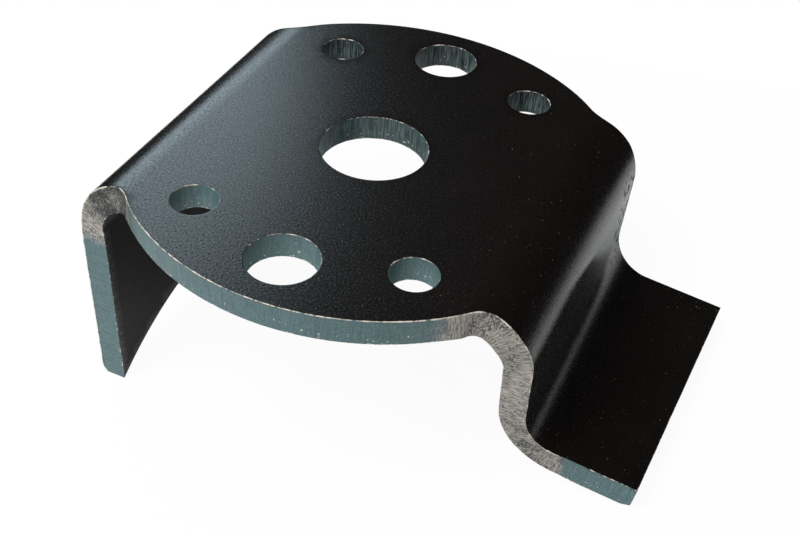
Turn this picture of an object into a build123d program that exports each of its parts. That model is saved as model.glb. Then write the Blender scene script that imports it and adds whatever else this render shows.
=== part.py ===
from build123d import *

import os
from math import cos, radians, sin, sqrt

# Front axle bracket: one piece of thick plate, cut to an outline and bent on a press brake.
# A round body carries a centre bore and six bolt holes. On -X a flange is bent square down, and its lower
# edge is an arch. On +X a narrowing tab is bent down into a web, and out again into a foot.
# The origin is the centre of the bore on the top face, +X points to the foot and +Z up. Millimetres, degrees.

# Plate and round body
sheet = 10.0
body_diameter = 185.0
inner_corner_radius = 12.0

# Holes through the body: the bore in the middle, and six bolt holes on one circle inside the rim. Two large
# ones are in line with the bore along Y, and four small ones stand on a rectangle.
bore_diameter = 40.0
rim_to_bolt_circle = 21.5
large_hole_diameter = 25.0
small_hole_diameter = 16.5
small_hole_spacing_x = 82.0

# Both bends beside the body: how far from the bore's centre their outer faces are, and the radius inside
flange_face_x = 86.0
web_face_x = 87.0
body_bend_radius = 13.0

# Flange on -X: its lower edge is an arch that springs from its corners
flange_width = 130.0
flange_depth = 100.0
arch_rise = 20.0

# Tab on +X: its sides are parallel for the first degrees of the bend beside the body, narrow evenly along
# the bent plate to the foot, and are parallel again there. Its bends and the end of the foot are a little
# out of square, further out at the rear.
tab_width = 126.0
tab_parallel_turn = 52.0
tab_bend_skew = 1.1
web_height = 24.5
foot_bend_radius = 16.0
foot_fall = 6.0
foot_reach = 136.0
foot_width = 108.5
foot_end_skew = 4.0

# The lower edges that the bracket stands on are worn round
worn_radius = 2.0

# Places that follow from these sizes
bolt_circle = body_diameter - 2 * rim_to_bolt_circle
small_hole_spacing_y = sqrt(bolt_circle**2 - small_hole_spacing_x**2)
outer_bend_radius = body_bend_radius + sheet
bend_start_x = web_face_x - outer_bend_radius
foot_turn = 90.0 - foot_fall
foot_start_x = web_face_x + foot_bend_radius * (1 - cos(radians(foot_turn)))
foot_length = (foot_reach - foot_start_x) / cos(radians(foot_fall))

# Where the parallel stretch ends on the inside of the bend, at the side that the skew brings nearer
skew_shift = tab_width / 2 * sin(radians(tab_bend_skew))
parallel_end_x = bend_start_x + body_bend_radius * sin(radians(tab_parallel_turn)) - skew_shift

# Longer than the whole bracket, for a volume that only has to reach past it
past_all = body_diameter + foot_reach

# The line of the outer face, from the lower edge of the flange over the body to the end of the foot
with BuildLine(Plane.XZ) as outer_line:
    flange_face = Line((-flange_face_x, -flange_depth), (-flange_face_x, -outer_bend_radius))
    flange_bend = JernArc(flange_face @ 1, flange_face % 1, outer_bend_radius, -90)
    top_face = Line(flange_bend @ 1, (bend_start_x, 0, 0))
    bend_start = JernArc(top_face @ 1, top_face % 1, outer_bend_radius, -tab_parallel_turn)
    bend_rest = JernArc(bend_start @ 1, bend_start % 1, outer_bend_radius, tab_parallel_turn - 90)
    web_face = PolarLine(bend_rest @ 1, web_height, direction=bend_rest % 1)
    foot_bend = JernArc(web_face @ 1, web_face % 1, foot_bend_radius, foot_turn)
    foot_face = PolarLine(foot_bend @ 1, foot_length, direction=foot_bend % 1)

# The same line with the plate's thickness behind it
with BuildLine(Plane.XZ) as section_outline:
    add(outer_line.line)
    offset(amount=sheet, side=Side.RIGHT)
section = make_face(section_outline.edges())

# Plan of the body, with the flange's width on one side and the tab's on the other
with BuildSketch() as plan:
    Circle(body_diameter / 2)
    with Locations((-body_diameter / 2, 0)):
        Rectangle(body_diameter, flange_width)
    with Locations((parallel_end_x / 2, 0)):
        Rectangle(parallel_end_x, tab_width)
    fillet(plan.edges().filter_by(GeomType.CIRCLE).vertices(), inner_corner_radius)

# Room for the whole plate: the plan straight through, and a bar that follows the bends and then narrows.
# The bar is thicker than the plate, on both of its sides, and thin enough to go round the bends.
bar_thickness = sheet + body_bend_radius
taper_start = Plane(origin=bend_start @ 1, x_dir=(0, 1, 0), z_dir=bend_start % 1)
foot_start = Plane(origin=foot_face @ 0, x_dir=(0, 1, 0), z_dir=foot_face % 0)
with BuildPart() as room:
    with BuildSketch(taper_start) as bar_section:
        with Locations((0, -sheet / 2)):
            Rectangle(tab_width, bar_thickness)
    with BuildSketch(foot_start) as foot_section:
        with Locations((0, -sheet / 2)):
            Rectangle(foot_width, bar_thickness)
    sweep(path=[bend_rest, web_face, foot_bend], multisection=True)
    sweep(bar_section.sketch, path=bend_start)
    extrude(foot_section.sketch, amount=past_all)
    extrude(plan.sketch, amount=past_all, both=True)

# The bent plate at full width. Its tab is turned about the bore's axis, which sets the bends out of square,
# and both sides reach past the middle, so that they overlap where the plate is flat.
with BuildPart() as bent_plate:
    extrude(section, amount=body_diameter / 2, both=True)
overlap = bore_diameter / 4
flange_side = split(bent_plate.part, bisect_by=Plane.YZ.offset(overlap), keep=Keep.BOTTOM)
tab_side = split(bent_plate.part, bisect_by=Plane.YZ.offset(-overlap), keep=Keep.TOP)

with BuildPart() as axle_bracket:
    # The bent plate, cut to its outline
    add(flange_side)
    add(tab_side.rotate(Axis.Z, -tab_bend_skew))
    add(room.part, mode=Mode.INTERSECT)

    # The end of the foot is cut a little out of square, further out at its rear corner
    rear_corner = foot_face @ 1 + Vector(0, foot_width / 2, 0)
    foot_normal = Axis(rear_corner, foot_start.y_dir)
    end_cut = Plane(origin=rear_corner, z_dir=foot_start.z_dir.rotate(foot_normal, -foot_end_skew))
    split(bisect_by=end_cut, keep=Keep.BOTTOM)

    # Arch in the lower edge of the flange
    with BuildSketch(Plane.YZ.offset(-flange_face_x)):
        with BuildLine():
            front, rear = (-flange_width / 2, -flange_depth), (flange_width / 2, -flange_depth)
            arch = ThreePointArc(front, (0, arch_rise - flange_depth), rear)
            Line(arch @ 1, arch @ 0)
        make_face()
    extrude(amount=sheet, both=True, mode=Mode.SUBTRACT)

    # Worn edges: the outer one along the arch, and the lower one along the end of the foot
    outer_face = axle_bracket.faces().sort_by(Axis.X)[0]
    foot_end = axle_bracket.faces().sort_by(Axis.X)[-1]
    fillet(outer_face.edges().filter_by(GeomType.CIRCLE), worn_radius)
    fillet(foot_end.edges().sort_by(Axis.Z)[0], worn_radius)

    # Bore and bolt holes
    Hole(bore_diameter / 2)
    with Locations((0, -bolt_circle / 2), (0, bolt_circle / 2)):
        Hole(large_hole_diameter / 2)
    with GridLocations(small_hole_spacing_x, small_hole_spacing_y, 2, 2):
        Hole(small_hole_diameter / 2)

axle_bracket.part.label = "axle_bracket"

os.makedirs("parts", exist_ok=True)
export_step(axle_bracket.part, "parts/axle_bracket.step")
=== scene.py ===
import math

import bmesh
import bpy
import numpy as np
from mathutils import Euler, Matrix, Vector
from mathutils.geometry import delaunay_2d_cdt


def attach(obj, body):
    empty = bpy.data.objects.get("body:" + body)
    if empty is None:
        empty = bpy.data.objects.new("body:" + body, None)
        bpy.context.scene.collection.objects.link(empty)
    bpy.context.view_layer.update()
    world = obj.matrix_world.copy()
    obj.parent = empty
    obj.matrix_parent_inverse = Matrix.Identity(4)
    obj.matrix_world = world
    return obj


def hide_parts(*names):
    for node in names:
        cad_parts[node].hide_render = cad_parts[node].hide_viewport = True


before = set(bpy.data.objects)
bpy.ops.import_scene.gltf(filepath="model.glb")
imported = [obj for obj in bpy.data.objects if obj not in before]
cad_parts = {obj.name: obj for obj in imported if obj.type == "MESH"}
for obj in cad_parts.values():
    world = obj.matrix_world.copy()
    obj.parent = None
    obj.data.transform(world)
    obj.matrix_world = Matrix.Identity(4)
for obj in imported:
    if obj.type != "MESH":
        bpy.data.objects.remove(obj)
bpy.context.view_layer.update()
mm = 0.001


def steelColour(hexColour):  # sRGB hex to linear
    parts = [int(hexColour[i:i + 2], 16) / 255 for i in (1, 3, 5)]
    return [c / 12.92 if c <= 0.04045 else ((c + 0.055) / 1.055) ** 2.4 for c in parts] + [1.0]


def addNode(tree, kind, settings=None, **inputs):  # an input is a value, or (node, output) to link
    node = tree.nodes.new(kind)
    for name, value in (settings or {}).items():
        setattr(node, name, value)
    for name, value in inputs.items():
        key = int(name[1:]) if name[0] == "i" and name[1:].isdigit() else name.replace("_", " ")
        if isinstance(value, tuple) and isinstance(value[0], bpy.types.Node):
            tree.links.new(value[0].outputs[value[1]], node.inputs[key])
        else:
            node.inputs[key].default_value = value
    return node


# The bracket in millimetres and degrees. It is drawn as the flat blank that was cut, x from the bore and y
# across, and that blank is then bent with its full thickness.
plate = {
    "thickness": 10.0,
    "rim": 92.5,
    "innerCorner": 12.0,
    "tabBendAt": 64.0,
    "flangeBendAt": 63.0,
    "bodyBend": 23.0,      # outside radius of both bends beside the body
    "webHeight": 24.5,
    "footBend": 16.0,      # radius of the foot's bend on the top face
    "footFall": 6.0,
    "footReach": 136.0,
    "footHalf": 54.25,
    "tabHalf": 63.0,
    "parallelTurn": 52.0,
    "tabSkew": 1.1,
    "footEndSkew": 4.0,
    "flangeDepth": 100.0,
    "flangeHalf": 65.0,
    "archRise": 20.0,
    "boltCircle": 71.0,
    "smallX": 41.0,
    "boreRadius": 20.0,
    "largeRadius": 12.5,
    "smallRadius": 8.25,
    # the press squeezes the inside of a bend out past the cut edge, and draws the outside in
    "tabSwell": (1.5, 0.7),
    "flangeSwell": (0.8, 1.3),
    "footSwell": (0.1, 1.0),
    "swellReach": 12.0,    # how far in from the edge it goes
    "swellSoft": 9.0,
}
edge = {
    "step": 0.6,           # between two columns of the cut wall
    "arris": 0.3,          # round that handling leaves on each arris
    "worn": 2.0,           # the arch and the foot's end stand on the ground, and are worn round there
    "wornRun": 4.0,
    "land": 0.35,          # strip of face beside the arris, as wide as scuffs reach
    "wallRows": (0.04, 0.14, 0.26, 0.38, 0.51, 0.64, 0.76, 0.88, 0.96),
    "arrisRows": 4,
    "wave": 0.05,          # drag lines and slow wander of the cut
    "waveTop": 0.3,        # share of the drag lines' depth at the top of the cut
    "waveGap": 1.8,
    "slowGap": 9.0,
    "calmRun": 5.0,        # the wave fades out this near to where the cut began
    "burr": 0.14,
    "burrGap": 1.3,
    "burrFrom": (0.88, 0.97),  # share of the way down the cut
    "inset": 0.15,
    "give": 0.02,          # share by which points beside a sharp corner make room
    "beadUnder": 0.5,      # dross sits only where the round is smaller
    "uvAlong": 0.01,
    "uvDown": 0.1,
    "outlineSeed": 11,
    "holeSeeds": (31, 7),  # the first, and the step to the next
}
# Points that a curve is drawn with before it is divided evenly
drawn = {"round": 160, "tabSide": 90, "footEnd": 50, "arch": 200}
# The grid inside the faces, finer over the bends
grid = {
    "flat": 5.0,
    "bend": 1.4,
    "farRow": 90.0,
    "footRun": 40.0,
    "sideRows": (56, 58.5, 61, 63),
    "clearSquared": 0.8,   # square of the least distance to the rim
    "merge": 1e-6,
    "slimmest": 1e-7,      # twice the area of a triangle that is left out
    "weld": 2e-6,          # in metres
}
# Wear, dirt, and the darkening of the rear holes' walls, in millimetres on the blank
wear = {
    "tabScuff": (44, 72, 140, 156),    # starts, full, still full, gone
    "flangeScuff": (56, 64, 92, 116),
    "scuffPast": 45,                   # this far out from the middle line
    "holeBare": (0.52, 0.80),          # share of the arris, in the front and the rear half of a hole
    "lowerBare": (0.55, 0.12),         # share everywhere, and what the front adds to it
    "upperBare": (0.50, 0.50),
    "frontEnds": (-20, 30),            # across the plate
    "tabSpared": 0.5,                  # share of that which the tab goes without
    "tabFrom": (70, 84),
    "footBare": 0.62,
    "footFrom": (158, 164),
    "galledRun": (94, 130, 6),         # from, to, softness
    "galledFrom": (38, 50),            # across the plate
    "holeDarkening": (-60, 60),             # across the plate
    # side of the bore, share, and from, to, softness
    "bendSoot": ((-1, 1.0, (58, 90, 8)), (1, 0.3, (60, 96, 8)), (1, 0.4, (130, 150, 8))),
}
skewSlope = math.tan(math.radians(plate["tabSkew"]))
skewRun = math.cos(math.radians(plate["tabSkew"]))
fall = math.radians(plate["footFall"])
webStart = plate["tabBendAt"] + plate["bodyBend"] * math.pi / 2
webEnd = webStart + plate["webHeight"]
footStart = webEnd + plate["footBend"] * (math.pi / 2 - fall)
flangeStart = plate["flangeBendAt"] + plate["bodyBend"] * math.pi / 2
flangeEnd = flangeStart + plate["flangeDepth"] - plate["bodyBend"]
taperStart = plate["tabBendAt"] + plate["bodyBend"] * math.radians(plate["parallelTurn"])
footBendX = plate["tabBendAt"] + plate["bodyBend"] + plate["footBend"]
footBendZ = -plate["bodyBend"] - plate["webHeight"]
footStartX = footBendX - plate["footBend"] * math.sin(fall)


def ramp(value, low, high):
    t = np.clip((value - low) / (high - low), 0, 1)
    return t * t * (3 - 2 * t)


def hump(value, low, high, soft):
    return ramp(value, low - soft, low + soft) * (1 - ramp(value, high - soft, high + soft))


def squareRun(x, y):  # run on the blank, square to the bends
    return np.where(x > 0, (x - y * skewSlope) * skewRun, x)


def halfWidth(run):
    taper = np.interp(run, [taperStart, footStart], [plate["tabHalf"], plate["footHalf"]])
    return np.where(run > 0, taper, plate["flangeHalf"])


def bendPlate(blankX, y, depth):  # blank to bracket, in metres
    blankX, y, depth = np.broadcast_arrays(*(np.asarray(v, float) for v in (blankX, y, depth)))
    tab, run = blankX > 0, squareRun(blankX, y)
    a = np.where(tab, run, -run)
    start = np.where(tab, plate["tabBendAt"], plate["flangeBendAt"])
    turn = np.clip((a - start) / plate["bodyBend"], 0, math.pi / 2)
    reach = plate["bodyBend"] - depth
    down = np.maximum(a - start - plate["bodyBend"] * math.pi / 2, 0)
    bent = a > start
    x = np.where(bent, start + reach * np.sin(turn), a)
    z = np.where(bent, -plate["bodyBend"] + reach * np.cos(turn) - down, -depth)
    turn = np.clip(math.pi / 2 - (a - webEnd) / plate["footBend"], fall, math.pi / 2)
    reach = plate["footBend"] + depth
    out = np.maximum(a - footStart, 0)
    foot = tab & (a > webEnd)
    x = np.where(foot, footBendX - reach * np.sin(turn) + out * math.cos(fall), x)
    z = np.where(foot, footBendZ - reach * np.cos(turn) - out * math.sin(fall), z)

    inner = depth / plate["thickness"]
    swell = np.zeros_like(x)
    for name, low, high, way, share in (("tabSwell", plate["tabBendAt"], webStart, 1, inner),
                                        ("flangeSwell", plate["flangeBendAt"], flangeStart, -1, inner),
                                        ("footSwell", webEnd, footStart, 1, 1 - inner)):
        outwards, inwards = plate[name]
        bulge = hump(run * way, low, high, plate["swellSoft"])
        swell = swell + bulge * (outwards * share - inwards * (1 - share))
    nearEdge = np.clip(1 - (halfWidth(run) - np.abs(y)) / plate["swellReach"], 0, 1) ** 2
    x = np.where(tab, x / skewRun + y * skewSlope, -x)
    return np.stack([x, y + np.sign(y) * nearEdge * swell, z], -1) * mm


def onBlank(x, y):  # a place on the plan to its x on the blank
    run = np.where(x > 0, (x - y * skewSlope) * skewRun, -x)
    start = np.where(x > 0, plate["tabBendAt"], plate["flangeBendAt"])
    past = np.clip((run - start) / plate["bodyBend"], 0, 1)
    run = np.where(run > start, start + plate["bodyBend"] * np.arcsin(past), run)
    return np.where(x > 0, run / skewRun + y * skewSlope, -run)


def footEnd(y):
    x = plate["footReach"] - (plate["footHalf"] - y) * math.tan(math.radians(plate["footEndSkew"]))
    run = footStart + ((x - y * skewSlope) * skewRun - footStartX) / math.cos(fall)
    return run / skewRun + y * skewSlope


def evenly(points, step):
    points = np.asarray(points, float)
    run = np.concatenate([[0], np.cumsum(np.linalg.norm(np.diff(points, axis=0), axis=1))])
    at = np.linspace(0, run[-1], max(2, int(round(run[-1] / step)) + 1))
    return np.stack([np.interp(at, run, points[:, 0]), np.interp(at, run, points[:, 1])], -1)


def turnRound(x, y, radius, start, end):
    angles = np.linspace(start, end, drawn["round"])
    return np.stack([x + radius * np.cos(angles), y + radius * np.sin(angles)], -1)


def longSide(way):  # foot, tab, rim of the body and flange, at +y or -y
    corner = plate["innerCorner"]
    outer = plate["rim"] + corner
    tabY, flangeY = plate["tabHalf"] + corner, plate["flangeHalf"] + corner
    tabX, flangeX = math.sqrt(outer ** 2 - tabY ** 2), -math.sqrt(outer ** 2 - flangeY ** 2)
    lean, flangeLean = math.atan2(tabY, tabX), math.atan2(flangeY, flangeX)
    rim = np.concatenate([
        turnRound(tabX, tabY, corner, 1.5 * math.pi, lean + math.pi),
        turnRound(0, 0, plate["rim"], lean, flangeLean),
        turnRound(flangeX, flangeY, corner, flangeLean - math.pi, -math.pi / 2)]) * (1, way)
    rim[:, 0] = onBlank(rim[:, 0], rim[:, 1])
    first, last = (squareRun(x, way * plate[half])
                   for x, half in ((footEnd(way * plate["footHalf"]), "footHalf"), (rim[0, 0], "tabHalf")))
    run = np.linspace(first, last, drawn["tabSide"])[:-1]
    y = way * halfWidth(run)
    tab = np.stack([run / skewRun + y * skewSlope, y], -1)
    return evenly(np.concatenate([tab, rim, [[-flangeEnd, way * plate["flangeHalf"]]]]), edge["step"])


def blankSides():  # anticlockwise, with the plate on the left
    y = np.linspace(-plate["footHalf"], plate["footHalf"], drawn["footEnd"])
    end = evenly(np.stack([footEnd(y), y], -1), edge["step"])
    half, rise = plate["flangeHalf"], plate["archRise"]
    radius = (half ** 2 + rise ** 2) / (2 * rise)
    y = np.linspace(half, -half, drawn["arch"])
    x = -flangeEnd + rise - radius + np.sqrt(radius ** 2 - y ** 2)
    arch = evenly(np.stack([x, y], -1), edge["step"])
    return [end, longSide(1), arch, longSide(-1)[::-1]]


def holeSide(x, y, radius):  # clockwise
    count = int(2 * math.pi * radius / edge["step"])
    angles = -np.linspace(0, 2 * math.pi, count, endpoint=False)
    return np.stack([x + radius * np.cos(angles), y + radius * np.sin(angles)], -1)


def wander(along, gap, rng):  # smooth noise along a cut, one wave to each gap
    knots = rng.uniform(-1, 1, int(along[-1] / gap) + 3)
    at = along / gap
    i = np.floor(at).astype(int)
    t = at - i
    t = t * t * (3 - 2 * t)
    return knots[i] * (1 - t) + knots[i + 1] * t


def holeLoop(points):
    ahead = np.roll(points, -1, 0) - points
    length = np.linalg.norm(ahead, axis=1)
    ahead /= length[:, None]
    way = ahead + np.roll(ahead, 1, 0)
    way /= np.linalg.norm(way, axis=1)[:, None]
    plain = np.full(len(points), edge["arris"])
    return {"points": points, "way": way, "along": np.concatenate([[0], np.cumsum(length)]),
            "top": plain, "bottom": plain.copy(), "corners": []}


def blankLoop(sides):  # the blank's outline, with the distance to the sharp corners at both ends of a side
    parts = {"points": [], "way": [], "before": [], "after": []}
    mitres, corners, first = [], [], 0
    for i, side in enumerate(sides):
        steps = np.diff(side, axis=0)
        steps /= np.linalg.norm(steps, axis=1)[:, None]
        last = np.diff(sides[i - 1][-2:], axis=0)[0]
        last /= np.linalg.norm(last)
        way = np.concatenate([steps[:1], steps[1:] + steps[:-1]])
        run = np.concatenate([[0], np.cumsum(np.linalg.norm(np.diff(side, axis=0), axis=1))])
        parts["points"].append(side[:-1])
        parts["way"].append(way / np.linalg.norm(way, axis=1)[:, None])
        parts["before"].append(run[:-1])
        parts["after"].append(run[-1] - run[:-1])
        turned = math.atan2(last[0] * steps[0][1] - last[1] * steps[0][0], last @ steps[0])
        mitres.append(math.tan(turned / 2))
        corners.append((first, last, steps[0]))
        first += len(side) - 1
    lengths = [len(side) - 1 for side in sides]
    loop = {name: np.concatenate(part) for name, part in parts.items()}
    loop["startMitre"] = np.repeat(mitres, lengths)
    loop["endMitre"] = np.repeat(mitres[1:] + mitres[:1], lengths)
    loop["corners"] = corners
    run = np.linalg.norm(np.roll(loop["points"], -1, 0) - loop["points"], axis=1)
    loop["along"] = np.concatenate([[0], np.cumsum(run)])
    side = np.repeat(np.arange(4), lengths)
    fade = 1 - ramp(np.minimum(loop["before"], loop["after"]), 0, edge["wornRun"])
    atFoot = np.where(side == 1, loop["before"] < loop["after"], loop["after"] < loop["before"])
    isLong, more = (side == 1) | (side == 3), edge["worn"] - edge["arris"]
    loop["bottom"] = edge["arris"] + more * np.where(side == 0, 1, np.where(isLong & atFoot, fade, 0))
    loop["top"] = edge["arris"] + more * np.where(side == 2, 1, np.where(isLong & ~atFoot, fade, 0))
    return loop


def moveIn(loop, inset):  # the loop moved into the plate, mitred at its sharp corners
    way = loop["way"]
    moved = loop["points"] + np.stack([-way[:, 1], way[:, 0]], -1) * inset[:, None]
    if not loop["corners"]:
        return moved
    before, after, give = inset * loop["startMitre"], inset * loop["endMitre"], edge["give"]
    slide = np.maximum(before - loop["before"], 0) + give * np.minimum(loop["before"], before)
    slide -= np.maximum(after - loop["after"], 0) + give * np.minimum(loop["after"], after)
    moved = moved + way * slide[:, None]
    for index, last, first in loop["corners"]:
        normals = np.array([[-last[1], last[0]], [-first[1], first[0]]])
        moved[index] = loop["points"][index] + np.linalg.solve(normals, [inset[index]] * 2)
    return moved


def stretch(value, starts, full, still, gone):
    return ramp(value, starts, full) * (1 - ramp(value, still, gone))


def scuffed(points):  # the cut edge is rubbed bare round the bends
    x, y = points[:, 0], np.abs(points[:, 1])
    tab, flange = stretch(x, *wear["tabScuff"]), stretch(-x, *wear["flangeScuff"])
    return np.maximum(flange, tab) * (y > wear["scuffPast"])


def knockedBare(points, isHole, lower):  # how much of an arris is knocked bare
    x, y = points[:, 0], points[:, 1]
    if isHole:
        front, rear = wear["holeBare"]
        return np.where(y > y.mean(), rear, front)
    least, more = wear["lowerBare"] if lower else wear["upperBare"]
    front = (1 - ramp(y, *wear["frontEnds"])) * (1 - wear["tabSpared"] * ramp(x, *wear["tabFrom"]))
    return np.maximum(least + front * more, wear["footBare"] * ramp(x, *wear["footFrom"]))


def galled(points, depth):  # the die dragged over the rear of the web and left it bright and pitted
    run = squareRun(points[:, 0], points[:, 1])
    return hump(run, *wear["galledRun"]) * ramp(points[:, 1], *wear["galledFrom"]) * (depth == 0)


def darkened(points, isHole):  # the walls of the holes grow darker towards the rear, and dirt stays on the bends
    x, y = points[:, 0], points[:, 1]
    if isHole:
        return ramp(y, *wear["holeDarkening"])
    return sum(share * hump(way * x, *reach) for way, share, reach in wear["bendSoot"])


def addPoints(build, places, scuff=0.0, arris=0.0, soot=0.0, galling=0.0):
    build["places"].append(places)
    for name, value in (("scuff", scuff), ("arris", arris), ("soot", soot), ("galling", galling)):
        build[name].append(np.broadcast_to(value, len(places)))
    first = build["count"]
    build["count"] += len(places)
    return list(range(first, build["count"]))


def cutWall(build, loop, seed):
    rng = np.random.default_rng(seed)
    along, length = loop["along"][:-1], loop["along"][-1]
    fine = wander(loop["along"], edge["waveGap"], rng)[:-1]
    slow = wander(loop["along"], edge["slowGap"], rng)[:-1]
    burrs = np.maximum(wander(loop["along"], edge["burrGap"], rng)[:-1], 0) ** 2
    calm = ramp(along, 0, edge["calmRun"]) * (1 - ramp(along, length - edge["calmRun"], length))
    t, top, bottom, arrisRows = plate["thickness"], loop["top"], loop["bottom"], edge["arrisRows"]
    rows = [(top + edge["land"], 0 * top, 0, 0)]  # inset, depth, share of the wall's wander, arris
    for k in range(arrisRows + 1):
        a = math.pi / 2 * k / arrisRows
        rows.append((top * (1 - math.sin(a)), top * (1 - math.cos(a)), k / arrisRows, 1))
    for share in edge["wallRows"]:
        rows.append((0 * top, top + (t - top - bottom) * share, 1, 0))
    for k in range(arrisRows, -1, -1):
        a = math.pi / 2 * k / arrisRows
        rows.append((bottom * (1 - math.sin(a)), t - bottom * (1 - math.cos(a)), k / arrisRows, 1))
    rows.append((bottom + edge["land"], 0 * top + t, 0, 0))
    ids, scuff, isHole = [], scuffed(loop["points"]), not loop["corners"]
    soot = darkened(loop["points"], isHole)
    burrStarts, burrFull = (share * t for share in edge["burrFrom"])
    for inset, depth, wall, arris in rows:
        low = ramp(depth, 0.5 * t, t)
        drag = edge["waveTop"] + (1 - edge["waveTop"]) * low
        wave = edge["wave"] * ((1 - fine) * drag + 1 - slow) / 2
        lip = edge["burr"] * burrs * ramp(depth, burrStarts, burrFull)
        flat = moveIn(loop, inset + wall * (edge["inset"] + calm * (wave - lip)))
        bare = arris * knockedBare(loop["points"], isHole, depth[0] > t / 2)
        pressed = galled(flat, depth) * (inset > 0)
        ids.append(addPoints(build, bendPlate(flat[:, 0], flat[:, 1], depth), scuff, bare, soot, pressed))
    count = len(along)
    for k in range(len(rows) - 1):
        upper, lower = rows[k][1] * edge["uvDown"], rows[k + 1][1] * edge["uvDown"]
        for j in range(count):
            m = (j + 1) % count
            build["faces"].append([ids[k][j], ids[k + 1][j], ids[k + 1][m], ids[k][m]])
            build["kinds"].append(0 if k in (0, len(rows) - 2) else 1)
            u, v = loop["along"][j] * edge["uvAlong"], loop["along"][j + 1] * edge["uvAlong"]
            build["uvs"] += [(u, upper[j]), (u, lower[j]), (v, lower[m]), (v, upper[m])]
    below = moveIn(loop, edge["inset"] + bottom)[::2]
    sharp = (bottom[::2] < edge["beadUnder"]) & (top[::2] < edge["beadUnder"])
    plain = np.ones(len(below), bool) if isHole else sharp
    build["lowerArris"].append(bendPlate(below[plain, 0], below[plain, 1], t))
    return [(moveIn(loop, top + edge["land"]), ids[0]), (moveIn(loop, bottom + edge["land"]), ids[-1])]


def insideBlank(points, rims):
    result = np.zeros(len(points), bool)
    for rim, _ in rims:
        crossings = np.zeros(len(points), int)
        for (ax, ay), (bx, by) in zip(rim, np.roll(rim, -1, 0)):
            spans = (ay > points[:, 1]) != (by > points[:, 1])
            if spans.any():
                crossings[spans] += points[spans, 0] < ax + (points[spans, 1] - ay) / (by - ay) * (bx - ax)
        result ^= crossings % 2 == 1
    return result


def plateFace(build, rims, depth):
    rim = np.concatenate([points for points, _ in rims])
    known = sum([ids for _, ids in rims], [])
    edges, first = [], 0
    for points, _ in rims:
        edges += [(first + i, first + (i + 1) % len(points)) for i in range(len(points))]
        first += len(points)
    flat, fine, farRow = grid["flat"], grid["bend"], grid["farRow"]
    lines = [np.arange(-plate["flangeBendAt"], plate["tabBendAt"], flat),
             np.arange(plate["tabBendAt"] - 2 * fine, webStart + 2 * fine, fine),
             np.arange(webStart, webEnd, flat),
             np.arange(webEnd - 2 * fine, footStart + 2 * fine, fine),
             np.arange(footStart, footStart + grid["footRun"], flat),
             -np.arange(plate["flangeBendAt"], flangeStart, fine),
             -np.arange(flangeStart, flangeEnd, flat)]
    lines = np.unique(np.round(np.concatenate(lines), 3))
    mirrored = [-row for row in reversed(grid["sideRows"])]
    rows = np.concatenate([np.arange(-farRow, farRow + 0.1, flat), mirrored, grid["sideRows"]])
    knots = np.array([(x, y) for x in lines for y in rows])
    near = np.array([np.min(np.sum((rim - place) ** 2, 1)) for place in knots])
    knots = knots[(near > grid["clearSquared"]) & insideBlank(knots, rims)]
    places = [Vector(p) for p in rim] + [Vector(p) for p in knots]
    found, _, triangles, origins, _, _ = delaunay_2d_cdt(places, edges, [], 0, grid["merge"])
    found = np.array([tuple(p) for p in found])
    triangles = np.array([t for t in triangles if len(t) == 3])
    triangles = triangles[insideBlank(found[triangles].mean(1), rims)]
    ids = np.full(len(found), -1)
    for i, origin in enumerate(origins):
        if origin and min(origin) < len(rim):
            ids[i] = known[min(origin)]
    fresh = np.flatnonzero(ids < 0)
    ids[fresh] = addPoints(build, bendPlate(found[fresh, 0], found[fresh, 1], depth),
                           soot=1.0 if depth else 0.0, galling=galled(found[fresh], depth))
    a, b, c = found[triangles[:, 0]], found[triangles[:, 1]], found[triangles[:, 2]]
    area = (b - a)[:, 0] * (c - a)[:, 1] - (b - a)[:, 1] * (c - a)[:, 0]
    for triangle, size in zip(triangles, area):
        if abs(size) > grid["slimmest"]:
            triangle = triangle if (size > 0) == (depth == 0) else triangle[::-1]
            build["faces"].append(ids[triangle].tolist())
            build["kinds"].append(0)
            build["uvs"] += (found[triangle] * edge["uvAlong"]).tolist()


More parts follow.
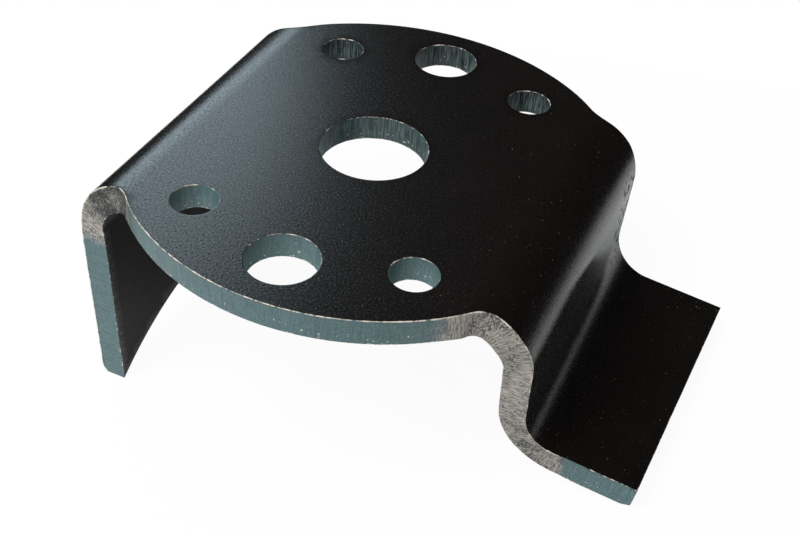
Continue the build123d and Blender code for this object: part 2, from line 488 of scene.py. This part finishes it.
def forgePlate():
    build = {name: [] for name in ("places", "scuff", "arris", "soot", "galling", "faces", "kinds", "uvs",
                                   "lowerArris")}
    build["count"] = 0
    circle, smallX = plate["boltCircle"], plate["smallX"]
    smallY = math.sqrt(circle ** 2 - smallX ** 2)
    holes = [(0, 0, plate["boreRadius"])]
    holes += [(0, j * circle, plate["largeRadius"]) for j in (1, -1)]
    holes += [(i * smallX, j * smallY, plate["smallRadius"]) for i in (-1, 1) for j in (-1, 1)]
    rims = [cutWall(build, blankLoop(blankSides()), edge["outlineSeed"])]
    firstSeed, seedStep = edge["holeSeeds"]
    for i, hole in enumerate(holes):
        rims.append(cutWall(build, holeLoop(holeSide(*hole)), firstSeed + seedStep * i))
    plateFace(build, [rim[0] for rim in rims], 0.0)
    plateFace(build, [rim[1] for rim in rims], plate["thickness"])
    mesh = bpy.data.meshes.new("bracketPlate")
    mesh.from_pydata(np.concatenate(build["places"]).tolist(), [], build["faces"])
    mesh.polygons.foreach_set("material_index", build["kinds"])
    mesh.polygons.foreach_set("use_smooth", [True] * len(build["faces"]))
    mesh.uv_layers.new(name="cutUv").data.foreach_set("uv", np.array(build["uvs"]).ravel())
    for name in ("scuff", "arris", "soot", "galling"):
        values = np.concatenate(build[name]).astype(np.float32)
        mesh.attributes.new(name, "FLOAT", "POINT").data.foreach_set("value", values)
    shape = bmesh.new()
    shape.from_mesh(mesh)
    bmesh.ops.remove_doubles(shape, verts=shape.verts, dist=grid["weld"])
    seams = sum(1 for e in shape.edges if len(e.link_faces) != 2)
    shape.to_mesh(mesh)
    shape.free()
    piece = bpy.data.objects.new("bracketPlate", mesh)
    bpy.context.scene.collection.objects.link(piece)
    even = piece.modifiers.new("evenNormals", "WEIGHTED_NORMAL")
    even.keep_sharp = False
    print("plate:", len(mesh.vertices), "points,", len(mesh.polygons), "faces,", seams, "open edges")
    return piece, np.concatenate(build["lowerArris"])


bracket, lowerArris = forgePlate()


# Dross: beads of melted steel that the flame left along the lower arris
dross = {"smallest": 0.10 * mm, "largest": 0.30 * mm, "share": 0.16, "seed": 5}
beadFaces = 20


def beadTree():
    tree = bpy.data.node_groups.new("drossBeads", "GeometryNodeTree")
    tree.interface.new_socket(name="line", in_out="INPUT", socket_type="NodeSocketGeometry")
    for name in ("smallest", "largest", "share"):
        tree.interface.new_socket(name=name, in_out="INPUT", socket_type="NodeSocketFloat")
    tree.interface.new_socket(name="seed", in_out="INPUT", socket_type="NodeSocketInt")
    tree.interface.new_socket(name="finish", in_out="INPUT", socket_type="NodeSocketMaterial")
    tree.interface.new_socket(name="beads", in_out="OUTPUT", socket_type="NodeSocketGeometry")
    given = addNode(tree, "NodeGroupInput")
    kept = addNode(tree, "FunctionNodeRandomValue", {"data_type": "BOOLEAN"},
                   Probability=(given, "share"), Seed=(given, "seed"))
    size = addNode(tree, "FunctionNodeRandomValue", {"data_type": "FLOAT"},
                   i2=(given, "smallest"), i3=(given, "largest"), Seed=(given, "seed"))
    turn = addNode(tree, "FunctionNodeRandomValue", {"data_type": "FLOAT_VECTOR"},
                   i1=(2 * math.pi, 2 * math.pi, 2 * math.pi), Seed=(given, "seed"))
    bead = addNode(tree, "GeometryNodeMeshIcoSphere", Radius=1.0, Subdivisions=1)
    beads = addNode(tree, "GeometryNodeInstanceOnPoints", Points=(given, "line"), Selection=(kept, 3),
                    Instance=(bead, "Mesh"), Rotation=(turn, 0), Scale=(size, 1))
    real = addNode(tree, "GeometryNodeRealizeInstances", Geometry=(beads, 0))
    smooth = addNode(tree, "GeometryNodeSetShadeSmooth", Geometry=(real, 0))
    finished = addNode(tree, "GeometryNodeSetMaterial", Geometry=(smooth, 0), Material=(given, "finish"))
    addNode(tree, "NodeGroupOutput", beads=(finished, 0))
    return tree


def castDross(places, finish):
    mesh = bpy.data.meshes.new("cutDross")
    mesh.from_pydata(places.tolist(), [], [])
    piece = bpy.data.objects.new("cutDross", mesh)
    bpy.context.scene.collection.objects.link(piece)
    strew = piece.modifiers.new("strewBeads", "NODES")
    strew.node_group = beadTree()
    for socket in strew.node_group.interface.items_tree:
        if socket.in_out == "INPUT" and socket.name in dross:
            strew[socket.identifier] = dross[socket.name]
        elif socket.in_out == "INPUT" and socket.name == "finish":
            strew[socket.identifier] = finish
    bpy.context.view_layer.update()
    solid = piece.evaluated_get(bpy.context.evaluated_depsgraph_get())
    piece.data = bpy.data.meshes.new_from_object(solid)
    piece.modifiers.clear()
    print("dross:", len(piece.data.polygons) // beadFaces, "beads")
    return piece


# Finishes. Hot-rolled plate keeps a thin dark oxide skin on both faces: satin, with a fine grain, and dull
# enough that only a bright window shows in it. Flame cutting leaves the edges blue-grey.
def knockedArris(tree, place):  # 1 where the arris is bare metal: a broken line, as long as its wear allows
    arris = addNode(tree, "ShaderNodeAttribute", {"attribute_name": "arris"})
    knocks = addNode(tree, "ShaderNodeTexNoise", Vector=(place, "Object"), Scale=300.0, Detail=3.0,
                     Roughness=0.7)
    both = addNode(tree, "ShaderNodeMath", {"operation": "MULTIPLY_ADD"}, i0=(arris, "Fac"), i1=0.45,
                   i2=(knocks, "Fac"))
    return addNode(tree, "ShaderNodeMapRange", Value=(both, 0), i1=0.84, i2=0.96)


skin = {
    "dark": "#0b0908",
    "light": "#15110f",
    "flake": "#6e675f",
    "bareArris": "#d4cec2",
    "galled": "#363a3a",
    "grain": 1400.0,       # the scales are of noise on a piece in metres
    "patch": 40.0,
    "flakes": 1100.0,
    "pits": 460.0,
    "sootyGloss": 0.13,
    "bump": 0.0003,
}


def millScale():
    material = bpy.data.materials.new("millScaleSteel")
    material.use_nodes = True
    tree = material.node_tree
    shader = tree.nodes["Principled BSDF"]
    place = addNode(tree, "ShaderNodeTexCoord")
    # grain of about 0.7 mm, drawn a little coarser than the real oxide so that it shows from here
    grain = addNode(tree, "ShaderNodeTexNoise", Vector=(place, "Object"), Scale=skin["grain"], Detail=2.0,
                    Roughness=0.6)
    patch = addNode(tree, "ShaderNodeTexNoise", Vector=(place, "Object"), Scale=skin["patch"], Detail=4.0,
                    Roughness=0.6)
    tone = addNode(tree, "ShaderNodeMix", {"data_type": "RGBA"}, Factor=(patch, "Fac"),
                   i6=steelColour(skin["dark"]), i7=steelColour(skin["light"]))
    # faint specks, where a flake of scale has come off: 0.2 to 0.5 mm
    flakes = addNode(tree, "ShaderNodeTexNoise", Vector=(place, "Object"), Scale=skin["flakes"], Detail=1.0,
                     Roughness=0.5)
    speck = addNode(tree, "ShaderNodeMapRange", Value=(flakes, "Fac"), i1=0.74, i2=0.82)
    flaked = addNode(tree, "ShaderNodeMix", {"data_type": "RGBA"}, Factor=(speck, 0),
                     i6=(tone, 2), i7=steelColour(skin["flake"]))
    worn = addNode(tree, "ShaderNodeMix", {"data_type": "RGBA"}, Factor=(knockedArris(tree, place), 0),
                   i6=(flaked, 2), i7=steelColour(skin["bareArris"]))
    # dragged bright by the die, in rows of pits along the bend
    galling = addNode(tree, "ShaderNodeAttribute", {"attribute_name": "galling"})
    rows = addNode(tree, "ShaderNodeMapping", Vector=(place, "Object"), Scale=(1.0, 1.0, 0.5))
    pits = addNode(tree, "ShaderNodeTexNoise", Vector=(rows, 0), Scale=skin["pits"], Detail=3.0,
                   Roughness=0.7)
    pits = addNode(tree, "ShaderNodeMapRange", Value=(pits, "Fac"), i1=0.47, i2=0.43)
    pits = addNode(tree, "ShaderNodeMath", {"operation": "MULTIPLY"}, i0=(pits, 0), i1=(galling, "Fac"))
    hollow = addNode(tree, "ShaderNodeMath", {"operation": "MULTIPLY_ADD"}, i0=(pits, 0), i1=-2.0,
                     i2=(grain, "Fac"))
    bright = addNode(tree, "ShaderNodeMix", {"data_type": "RGBA"}, Factor=(galling, "Fac"),
                     i6=(worn, 2), i7=steelColour(skin["galled"]))
    pitted = addNode(tree, "ShaderNodeMix", {"data_type": "RGBA"}, Factor=(pits, 0),
                     i6=(bright, 2), i7=steelColour(skin["dark"]))
    shine = addNode(tree, "ShaderNodeMapRange", Value=(grain, "Fac"), i1=0.3, i2=0.7, i3=0.17, i4=0.30)
    shine = addNode(tree, "ShaderNodeMath", {"operation": "MULTIPLY_ADD"}, i0=(pits, 0), i1=0.5,
                    i2=(shine, 0))
    gloss = addNode(tree, "ShaderNodeMapRange", Value=(grain, "Fac"), i1=0.3, i2=0.7, i3=0.05, i4=0.92)
    # the skin is duller and sootier on the lower face
    soot = addNode(tree, "ShaderNodeAttribute", {"attribute_name": "soot"})
    gloss = addNode(tree, "ShaderNodeMix", {"data_type": "FLOAT"}, Factor=(soot, "Fac"), i2=(gloss, 0),
                    i3=skin["sootyGloss"])
    gloss = addNode(tree, "ShaderNodeMath", {"operation": "MULTIPLY_ADD"},
                    i0=(galling, "Fac"), i1=0.9, i2=(gloss, 0))
    gloss = addNode(tree, "ShaderNodeMath", {"operation": "MULTIPLY_ADD", "use_clamp": True},
                    i0=(pits, 0), i1=-1.0, i2=(gloss, 0))
    bump = addNode(tree, "ShaderNodeBump", Height=(hollow, 0), Strength=0.2, Distance=skin["bump"])
    tree.links.new(pitted.outputs[2], shader.inputs["Base Color"])
    tree.links.new(gloss.outputs[0], shader.inputs["Specular IOR Level"])
    tree.links.new(shine.outputs[0], shader.inputs["Roughness"])
    tree.links.new(bump.outputs[0], shader.inputs["Normal"])
    return material


cut = {
    "oxideDark": "#3a5559",
    "oxideLight": "#5b7a7e",
    "dirtDark": "#0a1011",
    "dirtLight": "#56686a",
    "bareDark": "#6a6764",
    "bareLight": "#b2ada6",
    "bareSooted": "#c4c9c5",   # multiplies the bare metal where there is soot
    "pit": "#2b3031",
    "burnt": "#1d1f1e",
    "fleck": "#c4bdae",
    "bareArris": "#d4cec2",
    "lines": (190.0, 1.1, 1.0),
    "ridges": (240.0, 3.0, 1.0),
    "grain": 1400.0,
    "cloud": 150.0,
    "flecks": 900.0,
    "fleckSide": (-0.065, -0.055),   # x in metres: none on the flange's side of it
    "roughness": 0.45,
    "bump": 0.0004,
}


def cutSteel():
    material = bpy.data.materials.new("flameCutSteel")
    material.use_nodes = True
    tree = material.node_tree
    shader = tree.nodes["Principled BSDF"]
    place = addNode(tree, "ShaderNodeTexCoord")
    onCut = addNode(tree, "ShaderNodeUVMap", {"uv_map": "cutUv"})
    scuff = addNode(tree, "ShaderNodeAttribute", {"attribute_name": "scuff"})
    soot = addNode(tree, "ShaderNodeAttribute", {"attribute_name": "soot"})
    # drag lines stand across the cut, about 0.5 mm apart
    across = addNode(tree, "ShaderNodeMapping", Vector=(onCut, 0), Scale=cut["lines"])
    lines = addNode(tree, "ShaderNodeTexNoise", Vector=(across, 0), Scale=1.0, Detail=2.0, Roughness=0.6)
    grain = addNode(tree, "ShaderNodeTexNoise", Vector=(place, "Object"), Scale=cut["grain"], Detail=2.0,
                    Roughness=0.7)
    cloud = addNode(tree, "ShaderNodeTexNoise", Vector=(place, "Object"), Scale=cut["cloud"], Detail=4.0,
                    Roughness=0.7)
    blend = addNode(tree, "ShaderNodeMix", {"data_type": "FLOAT"}, Factor=0.55, i2=(lines, "Fac"),
                    i3=(grain, "Fac"))
    spread = addNode(tree, "ShaderNodeMapRange", Value=(blend, 0), i1=0.36, i2=0.64)
    oxide = addNode(tree, "ShaderNodeMix", {"data_type": "RGBA"}, Factor=(spread, 0),
                    i6=steelColour(cut["oxideDark"]), i7=steelColour(cut["oxideLight"]))
    sooty = addNode(tree, "ShaderNodeMapRange", Value=(lines, "Fac"), i1=0.42, i2=0.62)
    dirty = addNode(tree, "ShaderNodeMix", {"data_type": "RGBA"}, Factor=(sooty, 0),
                    i6=steelColour(cut["dirtDark"]), i7=steelColour(cut["dirtLight"]))
    # soot darkens the cut on the bends; in the holes the walls only grow darker towards the rear
    covered = addNode(tree, "ShaderNodeMix", {"data_type": "RGBA"}, Factor=(soot, "Fac"), i6=(oxide, 2),
                      i7=(dirty, 2))
    # bare metal with ridges across it, and pits where scale was pressed in
    close = addNode(tree, "ShaderNodeMapping", Vector=(onCut, 0), Scale=cut["ridges"])
    close = addNode(tree, "ShaderNodeTexNoise", Vector=(close, 0), Scale=1.0, Detail=1.0, Roughness=0.5)
    ridges = addNode(tree, "ShaderNodeMapRange", Value=(close, "Fac"), i1=0.36, i2=0.60)
    ground = addNode(tree, "ShaderNodeMix", {"data_type": "RGBA"}, Factor=(ridges, 0),
                     i6=steelColour(cut["bareDark"]), i7=steelColour(cut["bareLight"]))
    ground = addNode(tree, "ShaderNodeMix", {"data_type": "RGBA", "blend_type": "MULTIPLY"},
                     Factor=(soot, "Fac"),
                     i6=(ground, 2), i7=steelColour(cut["bareSooted"]))
    mottle = addNode(tree, "ShaderNodeMix", {"data_type": "FLOAT"}, Factor=0.45, i2=(grain, "Fac"),
                     i3=(cloud, "Fac"))
    pits = addNode(tree, "ShaderNodeMath", {"operation": "MULTIPLY_ADD"}, i0=(soot, "Fac"), i1=-0.09,
                   i2=(mottle, 0))
    pits = addNode(tree, "ShaderNodeMapRange", Value=(pits, 0), i1=0.47, i2=0.39)
    pitted = addNode(tree, "ShaderNodeMix", {"data_type": "RGBA"}, Factor=(pits, 0),
                     i6=(ground, 2), i7=steelColour(cut["pit"]))
    scuffEdge = addNode(tree, "ShaderNodeMath", {"operation": "ADD"}, i0=(scuff, "Fac"), i1=(mottle, 0))
    onScuff = addNode(tree, "ShaderNodeMapRange", Value=(scuffEdge, 0), i1=0.82, i2=1.12)
    # burnt patches under the upper arris, where the flame went in
    deep = addNode(tree, "ShaderNodeSeparateXYZ", Vector=(onCut, 0))
    top = addNode(tree, "ShaderNodeMapRange", Value=(deep, "Y"), i1=0.05, i2=0.22, i3=0.24, i4=0.0)
    burnt = addNode(tree, "ShaderNodeMath", {"operation": "ADD"}, i0=(top, 0), i1=(mottle, 0))
    burnt = addNode(tree, "ShaderNodeMapRange", Value=(burnt, 0), i1=0.74, i2=0.80)
    covered = addNode(tree, "ShaderNodeMix", {"data_type": "RGBA"}, Factor=(burnt, 0),
                      i6=(covered, 2), i7=steelColour(cut["burnt"]))
    # cream flecks of spatter on the lower half of the cut, up to 1 mm long, but not on the flange
    flecks = addNode(tree, "ShaderNodeTexNoise", Vector=(place, "Object"), Scale=cut["flecks"], Detail=1.0,
                     Roughness=0.5)
    low = addNode(tree, "ShaderNodeMapRange", Value=(deep, "Y"), i1=0.45, i2=0.70, i3=0.0, i4=0.10)
    flecked = addNode(tree, "ShaderNodeMath", {"operation": "ADD"}, i0=(low, 0), i1=(flecks, "Fac"))
    flecked = addNode(tree, "ShaderNodeMapRange", Value=(flecked, 0), i1=0.78, i2=0.83)
    sideFrom, sideTo = cut["fleckSide"]
    side = addNode(tree, "ShaderNodeSeparateXYZ", Vector=(place, "Object"))
    side = addNode(tree, "ShaderNodeMapRange", Value=(side, "X"), i1=sideFrom, i2=sideTo)
    flecked = addNode(tree, "ShaderNodeMath", {"operation": "MULTIPLY"}, i0=(flecked, 0), i1=(side, 0))
    covered = addNode(tree, "ShaderNodeMix", {"data_type": "RGBA"}, Factor=(flecked, 0),
                      i6=(covered, 2), i7=steelColour(cut["fleck"]))
    both = addNode(tree, "ShaderNodeMix", {"data_type": "RGBA"}, Factor=(onScuff, 0), i6=(covered, 2),
                   i7=(pitted, 2))
    worn = addNode(tree, "ShaderNodeMix", {"data_type": "RGBA"}, Factor=(knockedArris(tree, place), 0),
                   i6=(both, 2), i7=steelColour(cut["bareArris"]))
    relief = addNode(tree, "ShaderNodeMix", {"data_type": "FLOAT"}, Factor=0.35, i2=(lines, "Fac"),
                     i3=(grain, "Fac"))
    bump = addNode(tree, "ShaderNodeBump", Height=(relief, 0), Strength=0.6, Distance=cut["bump"])
    tree.links.new(worn.outputs[2], shader.inputs["Base Color"])
    tree.links.new(bump.outputs[0], shader.inputs["Normal"])
    shader.inputs["Roughness"].default_value = cut["roughness"]
    return material


spatterDark, spatterLight = "#3a4243", "#bdb5a6"


def spatter():
    material = bpy.data.materials.new("spatterSteel")
    material.use_nodes = True
    tree = material.node_tree
    shader = tree.nodes["Principled BSDF"]
    place = addNode(tree, "ShaderNodeTexCoord")
    each = addNode(tree, "ShaderNodeTexNoise", Vector=(place, "Object"), Scale=400.0, Detail=1.0,
                   Roughness=0.5)
    spread = addNode(tree, "ShaderNodeMapRange", Value=(each, "Fac"), i1=0.42, i2=0.60)
    tone = addNode(tree, "ShaderNodeMix", {"data_type": "RGBA"}, Factor=(spread, 0),
                   i6=steelColour(spatterDark), i7=steelColour(spatterLight))
    tree.links.new(tone.outputs[2], shader.inputs["Base Color"])
    shader.inputs["Roughness"].default_value = 0.4
    return material


bracket.data.materials.append(millScale())
bracket.data.materials.append(cutSteel())
beads = castDross(lowerArris, spatter())
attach(beads, "root")
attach(bracket, "root")
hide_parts("axle_bracket")
print("finishes: mill scale and cut edges")


# Studio: white paper, a soft light in front, and a window behind on the left that gives the sheen there
studio = {
    "paper": "#f0f0f0",
    "paperX": (-0.24, 0.36),     # in metres; past it the room is dark in what the steel mirrors
    "paperY": (-0.50, 0.26),
    "standX": (-76.0, 132.97),   # in mm: it stands on the flange's corners and the foot's rear corner
    "standZ": (-100.0, -76.68),
    "cameraAt": (0.12997, -0.31006, 0.23573),
    "cameraTurn": (48.8249, -3.7437, 23.7371),
    "lens": 49.762,
    "dimSky": 0.024,
    "fillSky": 0.26,
    "whiteSeen": 0.95,           # share of the paper's plain white in what the camera sees,
    "whiteMirrored": 0.11,       # and in what the steel mirrors: the rest is lit and shaded
    "lamps": {
        "frontLight": {"towards": (-124, 54), "far": 1.3, "size": (0.9, 0.7), "power": 18.4,
                       "colour": "#fffdfa"},
        "rearWindow": {"towards": (138.5, 28), "far": 1.2, "size": (0.75, 0.82), "power": 4.9,
                       "colour": "#dcf3ff"},
    },
}


def layPaper():
    (left, right), (near, far) = studio["paperX"], studio["paperY"]
    (x0, x1), (z0, z1) = studio["standX"], studio["standZ"]
    slope = (z1 - z0) / (x1 - x0)
    corners = [(x, y, z0 * mm + slope * (x - x0 * mm)) for x, y in
               ((left, near), (right, near), (right, far), (left, far))]
    mesh = bpy.data.meshes.new("whitePaper")
    mesh.from_pydata(corners, [], [(0, 1, 2, 3)])
    paper = bpy.data.objects.new("whitePaper", mesh)
    bpy.context.scene.collection.objects.link(paper)
    material = bpy.data.materials.new("whitePaper")
    material.use_nodes = True
    tree = material.node_tree
    tree.nodes.clear()
    path = addNode(tree, "ShaderNodeLightPath")
    straight = addNode(tree, "ShaderNodeMath", {"operation": "MAXIMUM"},
                       i0=(path, "Is Camera Ray"), i1=(path, "Is Transmission Ray"))
    straight = addNode(tree, "ShaderNodeMath", {"operation": "MULTIPLY"}, i0=(straight, 0),
                       i1=studio["whiteSeen"])
    share = addNode(tree, "ShaderNodeMath", {"operation": "MULTIPLY_ADD"},
                    i0=(path, "Is Glossy Ray"), i1=studio["whiteMirrored"], i2=(straight, 0))
    matt = addNode(tree, "ShaderNodeBsdfDiffuse", Color=steelColour(studio["paper"]))
    white = addNode(tree, "ShaderNodeEmission", Strength=1.0)
    top = addNode(tree, "ShaderNodeMixShader", Fac=(share, 0), i1=(matt, 0), i2=(white, 0))
    # on the right it falls into the dark of the room, in what the steel mirrors
    place = addNode(tree, "ShaderNodeTexCoord")
    place = addNode(tree, "ShaderNodeSeparateXYZ", Vector=(place, "Object"))
    dim = addNode(tree, "ShaderNodeMapRange", Value=(place, "X"), i1=0.18, i2=0.30, i3=0.0, i4=0.95)
    dim = addNode(tree, "ShaderNodeMath", {"operation": "MULTIPLY"}, i0=(dim, 0), i1=(path, "Is Glossy Ray"))
    dark = addNode(tree, "ShaderNodeBsdfDiffuse", Color=(0, 0, 0, 1))
    top = addNode(tree, "ShaderNodeMixShader", Fac=(dim, 0), i1=(top, 0), i2=(dark, 0))
    clear = addNode(tree, "ShaderNodeBsdfTransparent")
    facing = addNode(tree, "ShaderNodeNewGeometry")
    shown = addNode(tree, "ShaderNodeMixShader", Fac=(facing, "Backfacing"), i1=(top, 0), i2=(clear, 0))
    addNode(tree, "ShaderNodeOutputMaterial", Surface=(shown, 0))
    mesh.materials.append(material)


def lightStudio():
    world = bpy.data.worlds.new("dimRoom")
    bpy.context.scene.world = world
    world.use_nodes = True
    tree = world.node_tree
    tree.nodes.clear()
    path = addNode(tree, "ShaderNodeLightPath")
    room = addNode(tree, "ShaderNodeMix", {"data_type": "FLOAT"}, Factor=(path, "Is Glossy Ray"),
                   i2=studio["fillSky"], i3=studio["dimSky"])
    shown = addNode(tree, "ShaderNodeMix", {"data_type": "FLOAT"}, Factor=(path, "Is Camera Ray"),
                    i2=(room, 0), i3=1.0)
    sky = addNode(tree, "ShaderNodeBackground", Color=(1, 1, 1, 1), Strength=(shown, 0))
    addNode(tree, "ShaderNodeOutputWorld", Surface=(sky, 0))
    for name, lamp in studio["lamps"].items():
        light = bpy.data.lights.new(name, "AREA")
        light.shape = "ELLIPSE"
        light.size, light.size_y = lamp["size"]
        light.energy = lamp["power"]
        light.color = steelColour(lamp["colour"])[:3]
        azimuth, height = (math.radians(a) for a in lamp["towards"])
        level = math.cos(height)
        out = Vector((math.cos(azimuth) * level, math.sin(azimuth) * level, math.sin(height)))
        holder = bpy.data.objects.new(name, light)
        holder.location = out * lamp["far"]
        holder.rotation_euler = out.to_track_quat("Z", "Y").to_euler()
        bpy.context.scene.collection.objects.link(holder)


def placeCamera():
    camera = bpy.data.cameras.new("photoCamera")
    camera.sensor_width, camera.lens = 36.0, studio["lens"]
    camera.clip_start, camera.clip_end = 0.01, 50.0
    holder = bpy.data.objects.new("photoCamera", camera)
    holder.location = studio["cameraAt"]
    holder.rotation_euler = Euler([math.radians(a) for a in studio["cameraTurn"]])
    bpy.context.scene.collection.objects.link(holder)
    bpy.context.scene.camera = holder


layPaper()
lightStudio()
placeCamera()
bpy.context.scene.view_settings.view_transform = "Standard"
print("studio: paper, lamps and camera")
